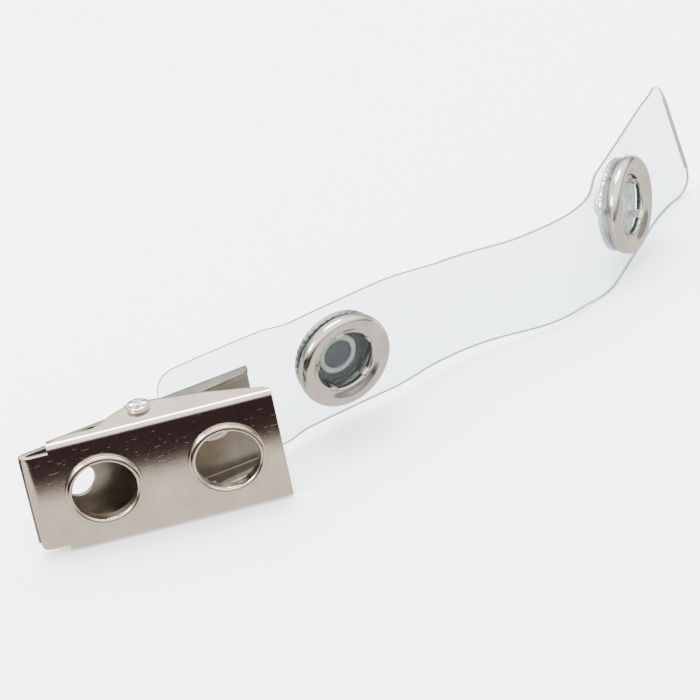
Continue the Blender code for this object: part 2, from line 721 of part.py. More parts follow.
def build():
    clear_scene()
    nickel = material("nickel_plate", (0.62, 0.56, 0.50), 0.22, 1.0)
    nickel_dark = material("nickel_plate_inside", (0.55, 0.50, 0.45), 0.28, 1.0)
    bright = material("bright_nickel", (0.78, 0.76, 0.73), 0.15, 1.0)
    wire = material("spring_steel", (0.35, 0.35, 0.36), 0.35, 1.0)
    vinyl = material("clear_vinyl", (0.80, 0.85, 0.86), 0.15, 0.0)

    upper, lower = build_jaws(nickel, nickel_dark)
    pin = build_pin(bright)
    coil = build_torsion_spring(wire)
    rivet = build_strap_rivet(bright)
    panels = build_strap(vinyl)
    near_ring = prong_ring("near_prong_ring", bright, SNAP_STATION)
    far_ring = prong_ring("far_prong_ring", bright, STUD_STATION)
    socket = build_socket(bright)
    socket_spring = build_socket_spring(wire)
    stud = build_stud(bright)

    root = bpy.data.objects.new("root", None)
    parts.objects.link(root)
    attach(root, [lower, coil, rivet, *tools.objects])
    joint_empty("jaw_hinge", (0, 0, 0), root, [upper, pin])
    swivel_place = (RIVET_X, STRAP_START.y, rivet_height())
    near = [panels["strap_near"], near_ring, socket, socket_spring]
    parent = joint_empty("strap_swivel", swivel_place, root, near)
    for name, station, slant, face in FOLD_LINES:
        children = [panels[name]]
        if name == "strap_far":
            children += [far_ring, stud]
        place, _ = fold_axis(station, slant, face)
        parent = joint_empty(f"{name}_hinge", place, parent, children)

    solids = [item for item in parts.objects if item.type == "MESH"]
    low, high = lowest_and_highest(solids)
    root.location = -Vector(((low.x + high.x) / 2, (low.y + high.y) / 2, low.z))


build()
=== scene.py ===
import json
import math

import bmesh
import bpy
import numpy as np
from mathutils import Matrix, Vector


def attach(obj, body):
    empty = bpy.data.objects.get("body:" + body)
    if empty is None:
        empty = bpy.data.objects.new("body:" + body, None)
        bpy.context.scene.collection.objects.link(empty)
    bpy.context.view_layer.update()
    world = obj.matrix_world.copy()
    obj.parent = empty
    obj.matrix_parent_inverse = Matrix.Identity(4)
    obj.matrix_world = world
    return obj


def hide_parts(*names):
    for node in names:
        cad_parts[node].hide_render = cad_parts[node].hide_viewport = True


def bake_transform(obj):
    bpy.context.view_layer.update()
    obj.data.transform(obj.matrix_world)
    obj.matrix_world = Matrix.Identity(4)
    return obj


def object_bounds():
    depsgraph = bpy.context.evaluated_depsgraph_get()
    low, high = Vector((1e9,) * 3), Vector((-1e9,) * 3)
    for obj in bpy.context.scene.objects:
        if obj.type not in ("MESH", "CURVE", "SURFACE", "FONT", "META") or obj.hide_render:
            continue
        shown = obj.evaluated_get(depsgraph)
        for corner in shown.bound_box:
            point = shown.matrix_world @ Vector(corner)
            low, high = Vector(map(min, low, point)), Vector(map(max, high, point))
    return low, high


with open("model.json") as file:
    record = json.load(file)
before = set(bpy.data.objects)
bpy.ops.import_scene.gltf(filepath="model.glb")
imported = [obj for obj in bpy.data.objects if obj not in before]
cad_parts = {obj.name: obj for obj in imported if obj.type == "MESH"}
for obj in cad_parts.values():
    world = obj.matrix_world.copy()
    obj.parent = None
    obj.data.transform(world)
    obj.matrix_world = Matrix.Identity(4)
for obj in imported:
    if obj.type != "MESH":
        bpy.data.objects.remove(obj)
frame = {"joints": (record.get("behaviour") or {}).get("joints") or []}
cad_low, cad_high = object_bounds()

# Shapes are built in millimetres round the jaw pin: X along the strap, Y to the back,
# Z up the pin. TO_ROW takes them to the CAD frame, in metres.
MM = 0.001
JOINTS = {joint["name"]: joint for joint in frame["joints"]}
PIN = Vector(JOINTS["jaw_hinge"]["pos_m"])
TO_ROW = Matrix.Translation(PIN) @ Matrix.Scale(MM, 4)

# Clip
SHEET = 0.5
UPPER_WIDTH = 11.8
LOWER_WIDTH = 10.66
BEND_RADIUS = 0.6
UPPER_HEIGHT = 2.9
LOWER_HEIGHT = 1.65
JAW_ANGLE = math.radians(13.4)
UPPER_TAIL, LOWER_TAIL = 12.3, 11.4
UPPER_SHOULDER, LOWER_SHOULDER = -9.2, -9.0
UPPER_LIP, LOWER_LIP = -11.77, -12.1
UPPER_CURL, LOWER_CURL = (0.85, 0.95), (0.70, 0.75)
LIP_WIDTH = 10.2
# Flange depth at the tail, the waist and the nose, and the radius of the ear at the pin
UPPER_FLANGE = (1.2, 3.0, 1.3, 1.55)
LOWER_FLANGE = (1.6, 2.0, 0.85, 1.25)
WAIST_X = 6.0
NOSE_XS = (-2.9, -3.8, -4.6, -7.5)
UPPER_CROWN, LOWER_CROWN = 0.06, 0.0
HOLE_RADIUS = 3.05
HOLE_CENTRES = (-4.84, 6.96)
HOLE_SEAT = 0.13
RIM_RADIUS = 0.34
SPOT_HOLE = (-6.8, 1.6)
PIN_RADIUS = 0.5
PIN_HEAD_RADIUS = 1.12
BORE_PLAY = 0.05
COIL_RADIUS = 0.78
COIL_WIRE = 0.16
COIL_TURNS = 6
COIL_HEIGHT = 5.6
COIL_LEG_X = 4.8
# Degrees: where the coil leaves its first leg, and how far it turns past its whole turns
COIL_START, COIL_EXTRA = -62, 124
RIVET_X = 7.0
RIVET_RADIUS = 1.0
RIVET_HEAD_RADIUS = 2.4
RIVET_BACK_HEIGHT, RIVET_FRONT_HEIGHT = 0.6, 0.5
EDGE_ROUND = 0.06

# Strap and snap
STRAP_LENGTH = 70.0
STRAP_WIDTH = 12.7
STRAP_THICKNESS = 0.5
STRAP_CORNER = 2.2
STRAP_START = Vector((2.93, 1.93, 0.92))
STRAP_BENDS = (
    (0.0, 0.0, 0.0), (10.6, 0.0, 0.0), (13.8, 7.0, -6.5), (23.3, 7.0, -6.5),
    (29.5, 7.0, -14.0), (36.0, -3.5, -16.5), (41.0, 5.0, -13.5), (46.0, 30.0, -11.0),
    (51.4, 44.0, 0.0), (61.8, 44.0, 0.0), (66.0, 36.0, 1.0), (70.0, 34.0, 8.0),
)
STRAP_CLIMB = ((0.0, 4.1), (35.0, -3.7), (70.0, 1.8))
# Fold lines along the strap: station, slant in degrees, and the bodies either side
FOLDS = (
    (24.4, 2.36, "strap_base", "fold_1"), (30.5, -2.69, "fold_1", "fold_2"),
    (37.0, 2.51, "fold_2", "fold_3"), (44.5, 6.46, "fold_3", "fold_4"),
    (50.3, -2.38, "fold_4", "strap_end"),
)
CENTRE_STEP = 0.05
ROW_STEP = 0.25
STRAP_EDGE_ROUND = 0.12
# Places in the section, by count, that are the flat of the strap's two cut edges
EDGE_STRIPS = (19, 42)
STRAP_NODES = (
    "strap_near", "strap_link_1", "strap_link_2", "strap_link_3", "strap_link_4", "strap_far",
)
SNAP_STATION = 18.3
STUD_STATION = 56.1
PRONG_COUNT = 5
PRONG_TURN = 0.4
PRONG_WIDTH = 0.85
PRONG_SHEET = 0.2
RIM_INNER, RIM_TEETH, TOOTH_DEPTH = 4.4, 40, 0.07
RIM_TOP = 0.55
# Inner radius, outer radius and top of the recess in a back piece, where shade is painted in as
# near-black metal
PAINTED_SHADE_RECESS = (2.1, 3.25, 0.42)
SOCKET_WIRE = 0.13
SOCKET_RING_RADIUS, SOCKET_RING_HEIGHT = 1.78, 1.375
SOCKET_RING_GAP = math.radians(25)
STUD_TOP = 2.4
TOUCH = 0.03

# A dark flag painted on the floor for glossy rays only, which metal shows as a painted reflection
# in front of the clip, in metres
FLAG_SLOPE = 0.2
FLAG_EDGE = (-0.0305, -0.0255)
FLAG_SIDE = (-0.017, -0.004)
PAINTED_FLAG_TONE = (0.035, 0.022, 0.026)
FLOOR_TONE = (0.93, 0.93, 0.93)
FLOOR_SIZE = 3.0
FLOOR_DROP = 0.00002
REFLECTED_FLOOR = (1.0, 0.97, 0.92)
REFLECTED_STRENGTH = 1.35
DOME_STRENGTH = 4.4
REFLECTED_DOME_STRENGTH = 3.0
# Height in the dome against the brightness that metal reflects there
REFLECTED_DOME = ((0.0, 0.10), (0.18, 0.16), (0.42, 0.62), (0.62, 0.95), (1.0, 0.8))

# The camera, placed about the jaw pin; lengths in millimetres
CAMERA_ELEVATION = math.radians(30.66)
CAMERA_ROLL = math.radians(11.92)
CAMERA_AZIMUTH = math.radians(-17.545)
CAMERA_DISTANCE = 431.13
CAMERA_TARGET = Vector((20.424, 0, 7.299))
LENS = 238.5
SENSOR_WIDTH = 36


# ---------------------------------------------------------------- mesh helpers

def scratch_object(name, mesh):
    made = bpy.data.objects.new(name, mesh)
    bpy.context.scene.collection.objects.link(made)
    return made


def baked(holder):
    """The mesh of an object with its modifiers applied; the object is removed."""
    bpy.context.view_layer.update()
    graph = bpy.context.evaluated_depsgraph_get()
    mesh = bpy.data.meshes.new_from_object(holder.evaluated_get(graph))
    bpy.data.objects.remove(holder)
    return mesh


def mesh_from(name, points, faces):
    mesh = bpy.data.meshes.new(name)
    mesh.from_pydata([tuple(p) for p in points], [], faces)
    mesh.update()
    return mesh


def face_outwards(mesh):
    made = bmesh.new()
    made.from_mesh(mesh)
    bmesh.ops.recalc_face_normals(made, faces=made.faces)
    made.to_mesh(mesh)
    made.free()


def joined(name, meshes):
    made = bmesh.new()
    for mesh in meshes:
        made.from_mesh(mesh)
    out = bpy.data.meshes.new(name)
    made.to_mesh(out)
    made.free()
    return out


def arc(centre, radius, start, end, steps):
    angles = [math.radians(start + (end - start) * k / steps) for k in range(steps + 1)]
    return [(centre[0] + radius * math.cos(a), centre[1] + radius * math.sin(a)) for a in angles]


def turned(name, profile, steps=96):
    """A closed ring, or a solid whose profile starts and ends on the axis, about Z."""
    solid = profile[0][0] == 0
    points, faces, rows = [], [], []
    for radius, height in profile:
        if radius == 0:
            rows.append([len(points)] * steps)
            points.append((0, 0, height))
            continue
        rows.append(list(range(len(points), len(points) + steps)))
        for k in range(steps):
            angle = 2 * math.pi * k / steps
            points.append((radius * math.cos(angle), radius * math.sin(angle), height))
    pairs = list(zip(rows, rows[1:]))
    if not solid:
        pairs.append((rows[-1], rows[0]))
    for upper, lower in pairs:
        for k in range(steps):
            n = (k + 1) % steps
            corner = [upper[k], lower[k], lower[n], upper[n]]
            face = [v for i, v in enumerate(corner) if v not in corner[:i]]
            if len(face) > 2:
                faces.append(face)
    mesh = mesh_from(name, points, faces)
    face_outwards(mesh)
    return mesh


def paint_recess_shade(mesh, inner, outer, height):
    """Gives the second finish, painted shade, to faces of a turned mesh between two radii and
    heights.
    """
    for polygon in mesh.polygons:
        centre = polygon.center
        if inner < math.hypot(centre.x, centre.y) < outer and centre.z < height:
            polygon.material_index = 1


def knurl(mesh):
    """Fine teeth on the rim of a turned mesh."""
    for vertex in mesh.vertices:
        reach = math.hypot(vertex.co.x, vertex.co.y)
        if reach > RIM_INNER:
            wave = math.cos(RIM_TEETH * math.atan2(vertex.co.y, vertex.co.x))
            factor = 1 - TOOTH_DEPTH * (0.5 - 0.5 * wave) / reach
            vertex.co.x *= factor
            vertex.co.y *= factor


def tube(name, points, radius):
    """A round wire along points, with rounded ends."""
    curve = bpy.data.curves.new(name, "CURVE")
    curve.dimensions = "3D"
    curve.bevel_depth = radius
    curve.bevel_resolution = 3
    curve.use_fill_caps = True
    spline = curve.splines.new("POLY")
    spline.points.add(len(points) - 1)
    for point, place in zip(spline.points, points):
        point.co = (*place, 1)
    mesh = baked(scratch_object(name, curve))
    bpy.data.curves.remove(curve)
    made = bmesh.new()
    made.from_mesh(mesh)
    bmesh.ops.remove_doubles(made, verts=made.verts, dist=1e-4)
    bmesh.ops.recalc_face_normals(made, faces=made.faces)
    made.to_mesh(mesh)
    made.free()
    return mesh


def cylinder(name, radius, depth, matrix, segments=64):
    made = bmesh.new()
    bmesh.ops.create_cone(
        made, cap_ends=True, segments=segments, radius1=radius, radius2=radius,
        depth=depth, matrix=matrix,
    )
    mesh = bpy.data.meshes.new(name)
    made.to_mesh(mesh)
    made.free()
    return mesh


def cut(mesh, cutters):
    """Cuts closed cutter meshes from a mesh, with the exact Boolean."""
    holder = scratch_object("cut_body", mesh)
    tools = [scratch_object(f"cut_tool_{k}", cutter) for k, cutter in enumerate(cutters)]
    for tool in tools:
        change = holder.modifiers.new(tool.name, "BOOLEAN")
        change.operation = "DIFFERENCE"
        change.solver = "EXACT"
        change.object = tool
    result = baked(holder)
    for tool in tools:
        bpy.data.objects.remove(tool)
    return result


def piece(name, mesh, materials, body, stands_for, matrix=None, sharp=35):
    """Puts a finished mesh in the row frame, shades it and rides it on its body, if any."""
    if matrix is not None:
        mesh.transform(matrix)
    mesh.transform(TO_ROW)
    marked = [polygon.material_index for polygon in mesh.polygons]
    mesh.materials.clear()
    for finish in materials:
        mesh.materials.append(finish)
    mesh.polygons.foreach_set("material_index", [min(k, len(materials) - 1) for k in marked])
    mesh.shade_smooth()
    mesh.set_sharp_from_angle(angle=math.radians(sharp))
    made = bpy.data.objects.new(name, mesh)
    bpy.context.scene.collection.objects.link(made)
    if body:
        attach(made, body)
    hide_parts(*stands_for)
    return made


# ---------------------------------------------------------------- materials

class Nodes:
    """A short way to add and link the shader nodes of one material."""

    def __init__(self, name):
        self.material = bpy.data.materials.new(name)
        self.material.use_nodes = True
        self.tree = self.material.node_tree
        self.shader = self.tree.nodes["Principled BSDF"]
        self.output = self.tree.nodes["Material Output"]
        self.place = self.add("ShaderNodeTexCoord").outputs["Object"]

    def add(self, kind, **settings):
        node = self.tree.nodes.new(kind)
        for key, value in settings.items():
            setattr(node, key, value)
        return node

    def link(self, source, target):
        self.tree.links.new(source, target)

    def noise(self, size, detail=2.0, roughness=0.5, stretch=None, turn=0.0):
        """Noise whose features are about size millimetres, stretched along an axis."""
        node = self.add("ShaderNodeTexNoise")
        node.inputs["Scale"].default_value = 1 / (size * MM)
        node.inputs["Detail"].default_value = detail
        node.inputs["Roughness"].default_value = roughness
        place = self.place
        if stretch:
            mapping = self.add("ShaderNodeMapping")
            mapping.inputs["Scale"].default_value = stretch
            mapping.inputs["Rotation"].default_value = (0, turn, 0)
            self.link(place, mapping.inputs["Vector"])
            place = mapping.outputs["Vector"]
        self.link(place, node.inputs["Vector"])
        return node.outputs["Fac"]

    def ramp(self, source, stops):
        node = self.add("ShaderNodeValToRGB")
        elements = node.color_ramp.elements
        while len(elements) < len(stops):
            elements.new(0.5)
        for element, (place, colour) in zip(elements, stops):
            element.position = place
            value = colour if isinstance(colour, tuple) else (colour,) * 3
            element.color = (*value, 1)
        self.link(source, node.inputs["Fac"])
        return node.outputs["Color"]

    def span(self, source, low, high):
        """Maps 0..1 to low..high."""
        node = self.add("ShaderNodeMapRange")
        node.inputs["To Min"].default_value = low
        node.inputs["To Max"].default_value = high
        self.link(source, node.inputs["Value"])
        return node.outputs["Result"]

    def bump(self, source, strength, depth, before=None):
        node = self.add("ShaderNodeBump")
        node.inputs["Strength"].default_value = strength
        node.inputs["Distance"].default_value = depth * MM
        self.link(source, node.inputs["Height"])
        if before is not None:
            self.link(before, node.inputs["Normal"])
        return node.outputs["Normal"]


def metal(name, dark, light, rough, grain, grain_depth, wave_depth=0.0, scratched=False):
    """Plated steel: cloudy tone, fine grain in the gloss, and a faint wave in the sheet."""
    made = Nodes(name)
    tone = made.ramp(made.noise(2.5, 4.0, 0.6), ((0.3, dark), (0.7, light)))
    made.link(tone, made.shader.inputs["Base Color"])
    made.shader.inputs["Metallic"].default_value = 1.0
    gloss = made.span(made.noise(grain, 3.0, 0.7), rough[0], rough[1])
    made.link(gloss, made.shader.inputs["Roughness"])
    normal = made.bump(made.noise(grain, 3.0, 0.75), 0.6, grain_depth)
    if scratched:
        for turn, stretch in ((0.5, 0.05), (-0.9, 0.07)):
            lines = made.noise(0.22, 1.0, 0.3, (stretch, 1.0, 1.0), turn)
            cut_lines = made.ramp(lines, ((0.70, 0.0), (0.73, 1.0)))
            normal = made.bump(cut_lines, 0.7, 0.004, normal)
    if wave_depth:
        normal = made.bump(made.noise(3.5, 1.0, 0.4), 0.8, wave_depth, normal)
    made.link(normal, made.shader.inputs["Normal"])
    return made.material


def vinyl(name, tint, veil, body_colour, rough):
    """Clear vinyl: a tinted see-through sheet under a glossy skin with soft waves."""
    made = Nodes(name)
    shader = made.shader
    cloud = made.noise(4.0, 3.0, 0.6)
    dull_body = tuple(0.94 * level for level in body_colour)
    body = made.ramp(cloud, ((0.3, dull_body), (0.7, body_colour)))
    made.link(body, shader.inputs["Base Color"])
    gloss_span = made.span(made.noise(1.2, 3.0, 0.7), 0.6 * rough, 1.5 * rough)
    made.link(gloss_span, shader.inputs["Roughness"])
    shader.inputs["IOR"].default_value = 1.5
    wave = made.bump(made.noise(6.0, 2.0, 0.5), 0.7, 0.12)
    made.link(wave, shader.inputs["Normal"])
    clear = made.add("ShaderNodeBsdfTransparent")
    dull_tint = tuple(0.97 * level for level in tint)
    tinted = made.ramp(cloud, ((0.3, dull_tint), (0.7, tint)))
    made.link(tinted, clear.inputs["Color"])
    facing = made.add("ShaderNodeLayerWeight")
    facing.inputs["Blend"].default_value = 0.5
    made.link(wave, facing.inputs["Normal"])
    gloss = made.add("ShaderNodeMath", operation="POWER")
    made.link(facing.outputs["Facing"], gloss.inputs[0])
    gloss.inputs[1].default_value = 5.0
    share = made.add("ShaderNodeMapRange")
    share.inputs["To Min"].default_value = veil
    share.inputs["To Max"].default_value = 1.0
    made.link(gloss.outputs["Value"], share.inputs["Value"])
    mix = made.add("ShaderNodeMixShader")
    made.link(share.outputs["Result"], mix.inputs["Fac"])
    made.link(clear.outputs["BSDF"], mix.inputs[1])
    made.link(shader.outputs["BSDF"], mix.inputs[2])
    made.link(mix.outputs["Shader"], made.output.inputs["Surface"])
    return made.material


# ---------------------------------------------------------------- clip

def read_edge(edge, at):
    """Flange depth at a place along the jaw, straight between the outline's points."""
    places = [p[0] for p in edge][::-1]
    depths = [p[1] for p in edge][::-1]
    return float(np.interp(at, places, depths))


def flange_edge(tail, shoulder, height, flange):
    """Outline of a flange, from the tail past the round ear at the pin to the shoulder."""
    tail_depth, waist_depth, nose_depth, ear_radius = flange
    ear = arc((0, 0), ear_radius, -42, -150, 24)
    points = [(tail, tail_depth * 0.55), (tail - 0.6, tail_depth), (WAIST_X, waist_depth)]
    points += [(x, height - y) for x, y in ear]
    points += [(x, nose_depth * share) for x, share in zip(NOSE_XS, (2.1, 1.35, 1.0, 1.0))]
    points.append((shoulder, nose_depth * 0.42))
    return points


def side_path(tail, shoulder, lip, outer, curl):
    """Along the plate's outer face: place, height, and outward direction."""
    radius, drop = curl
    flat_end = lip + radius
    places = [tail + (shoulder - tail) * k / 140 for k in range(140)]
    places += [shoulder + (flat_end - shoulder) * k / 12 for k in range(13)]
    path = [(along, outer, 0.0, 1.0) for along in places]
    for k in range(1, 15):
        angle = math.radians(90 + 90 * k / 14)
        x, y = math.cos(angle), math.sin(angle)
        path.append((flat_end + radius * x, outer - radius + radius * y, x, y))
    path.append((lip, outer - drop, -1.0, 0.0))
    return path


def jaw_mesh(name, width, outer, edge, lip, curl, crown):
    """A pressed jaw as a bent sheet: X along it, Y across, Z out of the plate."""
    flange_rows, bend_rows, plate_rows = 8, 10, 28
    half = width / 2
    points = []
    shoulder = edge[-1][0]
    path = side_path(edge[0][0], shoulder, lip, outer, curl)
    lip_half = min(LIP_WIDTH / 2, half - BEND_RADIUS)
    for along, height, out_x, out_z in path:
        depth = max(read_edge(edge, along), BEND_RADIUS + 0.08)
        section = []
        for k in range(flange_rows):
            section.append((half, depth + (BEND_RADIUS - depth) * k / flange_rows))
        for k in range(bend_rows):
            angle = math.radians(90 * k / bend_rows)
            section.append((
                half - BEND_RADIUS * (1 - math.cos(angle)), BEND_RADIUS * (1 - math.sin(angle))
            ))
        flat = half - BEND_RADIUS
        section.append((flat, 0.0))
        for k in range(plate_rows // 2):
            across = lip_half * (1 - 2 * k / plate_rows)
            section.append((across, crown * ((across / flat) ** 2 - 1)))
        middle = [(0.0, -crown)]
        section = section + middle + [(-w, d) for w, d in reversed(section)]
        for across, inward in section:
            points.append((along - out_x * inward, across, height - out_z * inward))
    columns = 2 * (flange_rows + bend_rows + 1 + plate_rows // 2) + 1
    outside = flange_rows + bend_rows + 1
    faces = []
    for row in range(len(path) - 1):
        on_lip = path[row][0] <= shoulder + 1e-6
        for column in range(columns - 1):
            if on_lip and not outside <= column < columns - 1 - outside:
                continue
            first = row * columns + column
            faces.append((first, first + 1, first + columns + 1, first + columns))
    mesh = mesh_from(name, points, faces)
    holder = scratch_object(name, mesh)
    plate_face = mesh.polygons[60 * (columns - 1) + (columns - 1) // 2]
    if plate_face.normal.z < 0:
        mesh.flip_normals()
    shell = holder.modifiers.new("sheet", "SOLIDIFY")
    shell.thickness = SHEET
    shell.offset = -1
    shell.use_even_offset = True
    rounding = holder.modifiers.new("edges", "BEVEL")
    rounding.width = EDGE_ROUND
    rounding.segments = 2
    rounding.limit_method = "ANGLE"
    rounding.angle_limit = math.radians(50)
    return baked(holder)


def bead(x, outer, radius):
    """The rolled rim of a plate hole: a half-round bead on a short turned-in wall."""
    middle = radius + RIM_RADIUS
    crown = outer + 0.2
    profile = arc((middle, crown), RIM_RADIUS, 90, 0, 10)
    profile += arc((middle + RIM_RADIUS + 0.12, outer + 0.1), 0.12, 180, 250, 5)
    profile += [(middle + RIM_RADIUS, outer - 0.12), (radius + 0.14, outer - 0.58)]
    profile += [(radius + 0.02, outer - 0.58)]
    profile += arc((middle, crown), RIM_RADIUS, 180, 98, 9)
    mesh = turned("bead", profile, 128)
    mesh.transform(Matrix.Translation((x, 0, 0)))
    return mesh


def build_jaws(finish, lower_jaw_painted_shade):
    """Upper jaw with its two beaded holes, and the lower jaw nested between its flanges."""
    across = Matrix.Rotation(math.radians(90), 4, "X")
    upper_frame = Matrix.Rotation(-JAW_ANGLE, 4, "Z") @ across
    lower_frame = across.inverted()

    edge = flange_edge(UPPER_TAIL, UPPER_SHOULDER, UPPER_HEIGHT, UPPER_FLANGE)
    plate = jaw_mesh(
        "upper", UPPER_WIDTH, UPPER_HEIGHT, edge, UPPER_LIP, UPPER_CURL, UPPER_CROWN
    )
    cutters = [cylinder("bore", PIN_RADIUS + BORE_PLAY, 20, across, 48)]
    for x in HOLE_CENTRES:
        place = Matrix.Translation((x, 0, UPPER_HEIGHT))
        cutters.append(cylinder("hole", HOLE_RADIUS + HOLE_SEAT, 3, place, 96))
    plate = cut(plate, cutters)
    beads = [bead(x, UPPER_HEIGHT, HOLE_RADIUS) for x in HOLE_CENTRES]
    upper = joined("upper_jaw_sheet", [plate, *beads])
    piece(
        "upper_jaw_sheet", upper, [finish], "lever", ["upper_jaw"],
        upper_frame, 40,
    )

    edge = flange_edge(LOWER_TAIL, LOWER_SHOULDER, LOWER_HEIGHT, LOWER_FLANGE)
    plate = jaw_mesh(
        "lower", LOWER_WIDTH, LOWER_HEIGHT, edge, LOWER_LIP, LOWER_CURL, LOWER_CROWN
    )
    spot_x, spot_radius = SPOT_HOLE
    spot_place = Matrix.Translation((spot_x, 0, LOWER_HEIGHT))
    rivet_place = Matrix.Translation((RIVET_X, -rivet_height(), LOWER_HEIGHT))
    cutters = [
        cylinder("bore", PIN_RADIUS + BORE_PLAY, 20, across, 48),
        cylinder("spot", spot_radius, 3, spot_place, 72),
        cylinder("rivet", RIVET_RADIUS + BORE_PLAY, 3, rivet_place, 48),
    ]
    lower = cut(plate, cutters)
    # The lower jaw wears painted shade: its nickel is made dark so the clip's inside reads as
    # shaded.
    piece(
        "lower_jaw_sheet", lower, [lower_jaw_painted_shade], "clip", ["lower_jaw"],
        lower_frame, 40,
    )


def build_pin(finish):
    """Jaw pin with a peened head on top and a nearly flush one below."""
    half = UPPER_WIDTH / 2 + TOUCH
    radius = PIN_HEAD_RADIUS
    profile = [(0, half + 0.36), (0.2, half + 0.38), (0.5, half + 0.42), (0.72, half + 0.44)]
    profile += arc((radius - 0.16, half + 0.27), 0.16, 75, -15, 6)
    profile += [(radius - 0.05, half), (PIN_RADIUS, half), (PIN_RADIUS, -half)]
    profile += [(radius * 0.93, -half), (radius * 0.9, -half - 0.08), (radius * 0.7, -half - 0.14)]
    profile += [(0, -half - 0.15)]
    mesh = turned("pin", profile, 64)
    for vertex in mesh.vertices:
        x, y, z = vertex.co
        reach = math.hypot(x, y)
        if z > half + 0.3 and reach > 0.1:
            swell = math.sin(math.pi * min(reach / 0.95, 1))
            vertex.co.z += 0.07 * math.cos(5 * math.atan2(y, x) + 0.6) * swell
    piece("hinge_pin_peened", mesh, [finish], "lever", ["hinge_pin"], sharp=30)


def build_torsion_spring(finish):
    """The coil round the pin with two legs that press the tails apart."""
    total = 32 * COIL_TURNS + 12
    sweep = 360 * COIL_TURNS + COIL_EXTRA
    points = []
    for k in range(total + 1):
        share = k / total
        angle = math.radians(COIL_START + sweep * share)
        x, y = COIL_RADIUS * math.cos(angle), COIL_RADIUS * math.sin(angle)
        points.append((x, y, COIL_HEIGHT * (share - 0.5)))
    clear = COIL_WIRE + 0.05
    lower_leg = LOWER_HEIGHT - SHEET - clear
    upper_leg = clear - (UPPER_HEIGHT - SHEET) / math.cos(JAW_ANGLE)
    upper_leg += COIL_WIRE - COIL_LEG_X * math.tan(JAW_ANGLE)
    points.insert(0, (COIL_LEG_X, upper_leg, -COIL_HEIGHT / 2))
    points.append((COIL_LEG_X, lower_leg, COIL_HEIGHT / 2))
    mesh = tube("coil", points, COIL_WIRE)
    made = piece("torsion_coil", mesh, [finish], None, ["torsion_spring"], sharp=50)
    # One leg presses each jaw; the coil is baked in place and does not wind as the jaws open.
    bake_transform(made)


def rivet_head(radius, height, base, up):
    """Profile of a low domed head, from its crown out to the rim it is seated on."""
    points = [(0, base + up * height)]
    for k in range(1, 9):
        share = k / 8
        drop = 0.25 * share**2 + 0.4 * max(share - 0.75, 0) ** 2 * 16
        points.append((radius * share, base + up * height * (1 - min(drop, 0.65))))
    points.append((radius, base))
    return points


def build_strap_rivet(finish):
    back_face = STRAP_START.y + STRAP_THICKNESS / 2 + TOUCH
    front_face = LOWER_HEIGHT - SHEET - TOUCH
    profile = rivet_head(RIVET_HEAD_RADIUS, RIVET_BACK_HEIGHT, back_face, 1)
    profile += [(RIVET_RADIUS, back_face), (RIVET_RADIUS, front_face)]
    profile += rivet_head(RIVET_HEAD_RADIUS, RIVET_FRONT_HEIGHT, front_face, -1)[::-1]
    mesh = turned("rivet", profile, 72)
    to_back = Matrix.Rotation(math.radians(-90), 4, "X")
    place = Matrix.Translation((RIVET_X, 0, rivet_height())) @ to_back
    piece("strap_rivet_domed", mesh, [finish], "clip", ["strap_rivet"], place)


# ---------------------------------------------------------------- strap

def blended(table, column, at):
    """A smooth reading of one column of the table that never overshoots its rows."""
    places = [row[0] for row in table]
    values = [row[column] for row in table]
    count = len(places)
    rates = [(values[k + 1] - values[k]) / (places[k + 1] - places[k]) for k in range(count - 1)]
    slopes = [rates[0]]
    for before, after in zip(rates, rates[1:]):
        level = before * after <= 0
        slopes.append(0 if level else 2 * before * after / (before + after))
    slopes.append(rates[-1])
    k = min(max(sum(place <= at for place in places) - 1, 0), count - 2)
    span = places[k + 1] - places[k]
    u = (at - places[k]) / span
    return (
        (1 + 2 * u) * (1 - u) ** 2 * values[k] + u * (1 - u) ** 2 * span * slopes[k]
        + u * u * (3 - 2 * u) * values[k + 1] + u * u * (u - 1) * span * slopes[k + 1]
    )


def strap_direction(at):
    heading = math.radians(blended(STRAP_BENDS, 1, at))
    rise = math.radians(np.interp(at, [c[0] for c in STRAP_CLIMB], [c[1] for c in STRAP_CLIMB]))
    flat = math.cos(rise)
    return Vector((math.cos(heading) * flat, math.sin(heading) * flat, math.sin(rise)))


CENTRES = [STRAP_START.copy()]
for step in range(round((STRAP_LENGTH + 2) / CENTRE_STEP)):
    CENTRES.append(CENTRES[-1] + strap_direction((step + 0.5) * CENTRE_STEP) * CENTRE_STEP)


def strap_frame(at):
    """Centre, direction, width direction and back normal of the strap at a station."""
    whole = min(max(int(at / CENTRE_STEP), 0), len(CENTRES) - 2)
    centre = CENTRES[whole].lerp(CENTRES[whole + 1], at / CENTRE_STEP - whole)
    along = strap_direction(at)
    level = Vector((0, 0, 1)).cross(along).normalized()
    upright = along.cross(level)
    lean = math.radians(blended(STRAP_BENDS, 2, at))
    across = upright * math.cos(lean) + level * math.sin(lean)
    return centre, along, across, across.cross(along)


def rivet_height():
    return strap_frame(RIVET_X - STRAP_START.x)[0].z


def snap_matrix(at, side, lift):
    """Frame on the strap's face at a station, its Z pointing away from the strap."""
    centre, along, across, back = strap_frame(at)
    normal = back * side
    origin = centre + normal * (STRAP_THICKNESS / 2 + lift)
    turn = Matrix((along, normal.cross(along), normal)).transposed().to_4x4()
    return Matrix.Translation(origin) @ turn


def half_width(at):
    end = min(at, STRAP_LENGTH - at)
    if end >= STRAP_CORNER:
        return STRAP_WIDTH / 2
    square = STRAP_WIDTH / 2 - STRAP_CORNER
    return square + math.sqrt(max(STRAP_CORNER**2 - (STRAP_CORNER - end) ** 2, 0))


